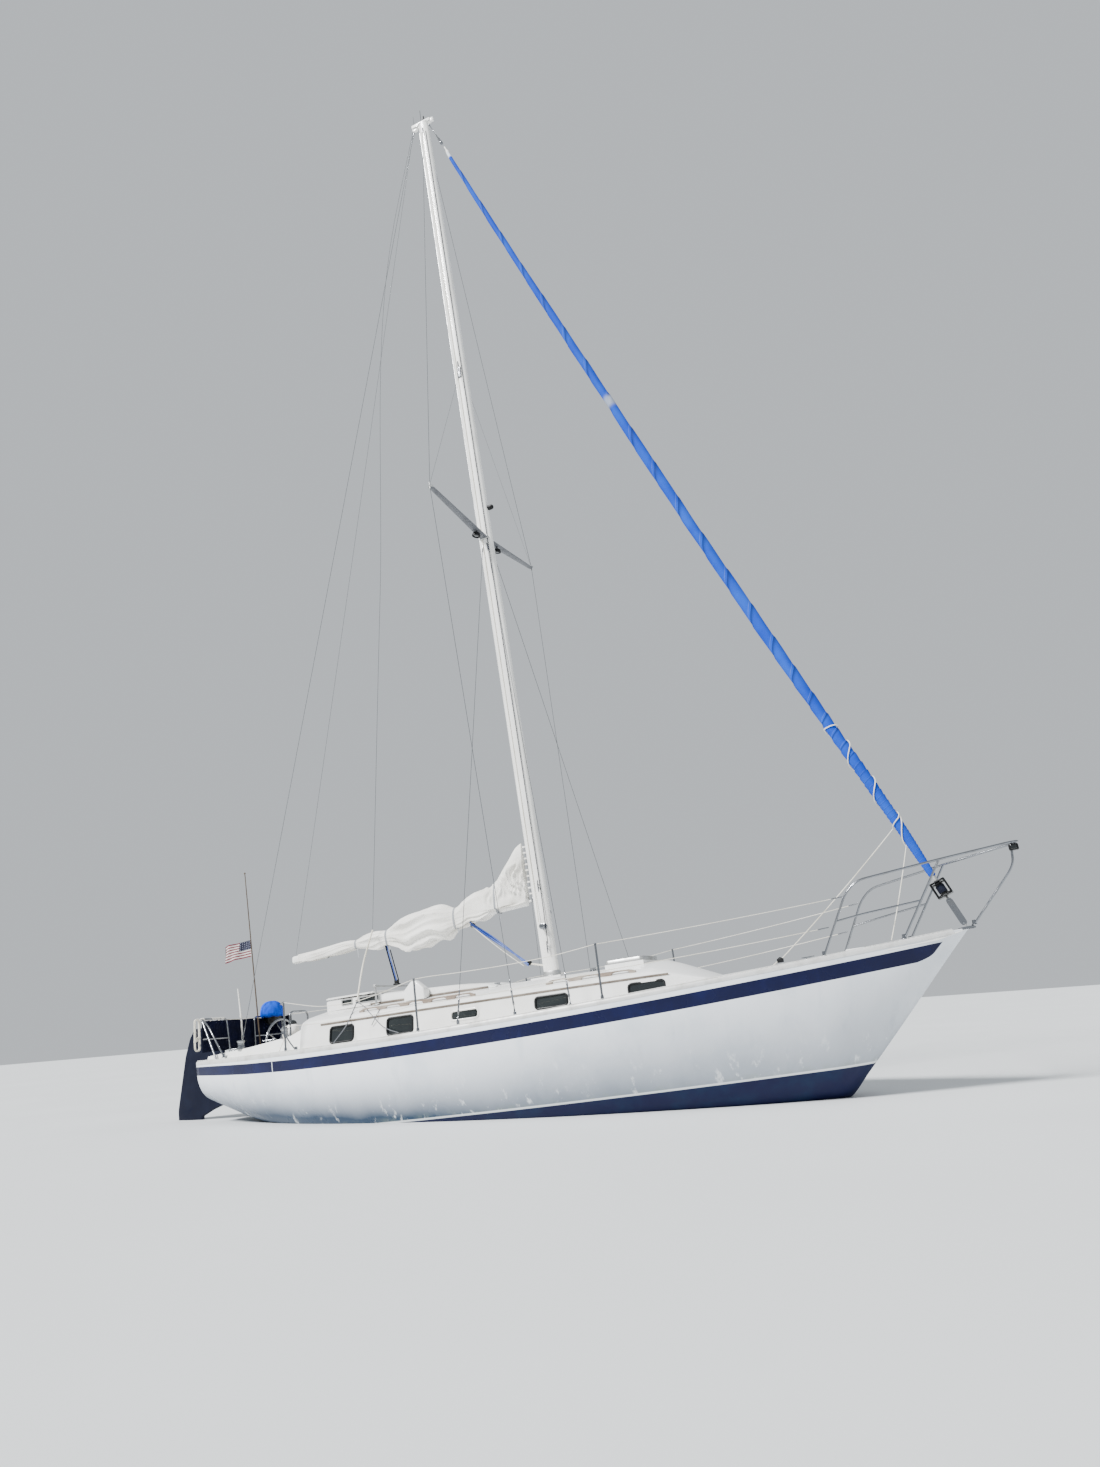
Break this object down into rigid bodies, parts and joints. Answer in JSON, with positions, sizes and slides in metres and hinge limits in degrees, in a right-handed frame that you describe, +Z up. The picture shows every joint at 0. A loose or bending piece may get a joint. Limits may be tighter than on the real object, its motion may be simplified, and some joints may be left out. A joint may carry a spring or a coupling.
{
  "type": "sailing yacht",
  "caption": "Sailing yacht with a single mast, furled headsail, flaked mainsail on the boom, wheel steering, outboard rudder and fin keel.",
  "frame": {"origin": "on the water's surface, on the boat's centreline below the mast's foot", "axes": "+X forward to the bow, +Y to port, +Z up from the water"},
  "size_m": [11.4146, 3.044, 17.1417],
  "materials": {
    "hull_gelcoat": "white gelcoat, slightly chalky, with a navy sheer stripe and boot-top",
    "deck_gelcoat": "off-white gelcoat, satin",
    "window_glass": "dark tinted",
    "hatch_acrylic": "smoked acrylic",
    "teak": "weathered, oiled long ago",
    "alloy": "anodised, dull",
    "antifouling": "matt navy antifouling",
    "navy_paint": "navy paint over glass fibre, satin",
    "stainless": "polished, a little dull",
    "bronze": "dull bronze",
    "engine_enamel": "grey enamel",
    "spar_paint": "white paint, satin",
    "black_plastic": "black",
    "blue_canvas": "bright blue canvas, sun-faded on the ridges",
    "rope": "white braid, weathered",
    "sailcloth": "off-white, creased",
    "navy_canvas": "navy canvas",
    "flag_cloth": "red, white and blue"
  },
  "bodies": {
    "hull": {"hull": "hull_gelcoat", "deck": "deck_gelcoat", "cabin_trunk": "deck_gelcoat", "windows_port": "window_glass", "windows_starboard": "window_glass", "washboards": "teak", "turtle_deck": "deck_gelcoat", "cowl_vent": "deck_gelcoat", "handrail_aft_port": "teak", "handrail_fore_port": "teak", "handrail_aft_starboard": "teak", "handrail_fore_starboard": "teak", "toe_rail_port": "alloy", "toe_rail_starboard": "alloy", "fin_keel": "antifouling", "rudder_gudgeons": "stainless", "propeller_shaft": "stainless", "engine": "engine_enamel", "steering_pedestal": "deck_gelcoat", "pedestal_guard": "stainless", "winch_aft_port": "stainless", "winch_fore_port": "stainless", "winch_aft_starboard": "stainless", "winch_fore_starboard": "stainless", "mast": "spar_paint", "spreader_port": "spar_paint", "spreader_starboard": "spar_paint", "masthead_fitting": "spar_paint", "shrouds_port": "stainless", "shrouds_starboard": "stainless", "backstay": "stainless", "forestay_foot": "stainless", "forestay_head": "stainless", "gooseneck": "stainless", "guard_rail_port": "stainless", "guard_rail_starboard": "stainless", "pulpit": "stainless", "pushpit_port": "stainless", "pushpit_starboard": "stainless", "weather_cloth": "navy_canvas", "rail_cover": "blue_canvas", "flag_staff": "spar_paint", "flag": "flag_cloth", "rope_hank": "rope", "traveller": "alloy", "bow_fitting": "stainless"},
    "rudder": {"rudder": "navy_paint"},
    "wheel": {"steering_wheel": "stainless"},
    "propeller": {"propeller": "bronze"},
    "boom": {"boom": "spar_paint", "mainsail_bundle": "sailcloth", "boom_vang": "rope"},
    "companionway_hatch": {"companionway_hatch": "deck_gelcoat"},
    "fore_hatch": {"fore_hatch": "hatch_acrylic"},
    "locker_lid_port": {"locker_lid_port": "deck_gelcoat"},
    "locker_lid_starboard": {"locker_lid_starboard": "deck_gelcoat"},
    "furler": {"furler_drum": "black_plastic", "furled_jib": "blue_canvas"}
  },
  "joints": [
    {"name": "rudder_turn", "type": "hinge", "parent": "hull", "child": "rudder", "pos_m": [-5.14628, 0, 0.30033], "axis": [-0.0583, 0, 0.9983], "range_deg": [-35, 35]},
    {"name": "wheel_turn", "type": "hinge", "parent": "hull", "child": "wheel", "pos_m": [-4.2059, 0, 0.92124], "axis": [0.9983, 0, 0.0583], "range_deg": [-360, 360]},
    {"name": "propeller_spin", "type": "hinge", "parent": "hull", "child": "propeller", "pos_m": [-3.99391, 0, -0.56393], "axis": [-0.9543, 0, -0.2987], "continuous": true},
    {"name": "boom_swing", "type": "hinge", "parent": "hull", "child": "boom", "pos_m": [-0.29582, 0, 2.45693], "axis": [-0.0892, 0, 0.996], "range_deg": [-50, 50]},
    {"name": "companionway_slide", "type": "slide", "parent": "hull", "child": "companionway_hatch", "axis": [0.9983, 0, 0.0583], "range_m": [0, 0.6]},
    {"name": "fore_hatch_lift", "type": "hinge", "parent": "hull", "child": "fore_hatch", "pos_m": [1.19979, 0, 1.59871], "axis": [0, 1, 0], "range_deg": [0, 100]},
    {"name": "locker_lift_port", "type": "hinge", "parent": "hull", "child": "locker_lid_port", "pos_m": [-3.67074, 0.68, 0.67704], "axis": [-0.9983, 0, -0.0583], "range_deg": [0, 80]},
    {"name": "locker_lift_starboard", "type": "hinge", "parent": "hull", "child": "locker_lid_starboard", "pos_m": [-3.67074, -0.68, 0.67704], "axis": [0.9983, 0, 0.0583], "range_deg": [0, 80]},
    {"name": "furler_turn", "type": "hinge", "parent": "hull", "child": "furler", "pos_m": [4.6679, 0, 1.7152], "axis": [-0.4028, 0, 0.9153], "continuous": true}
  ],
  "couplings": [
    {"joint": "wheel_turn", "follows": "rudder_turn", "ratio": 10.286}
  ]
}
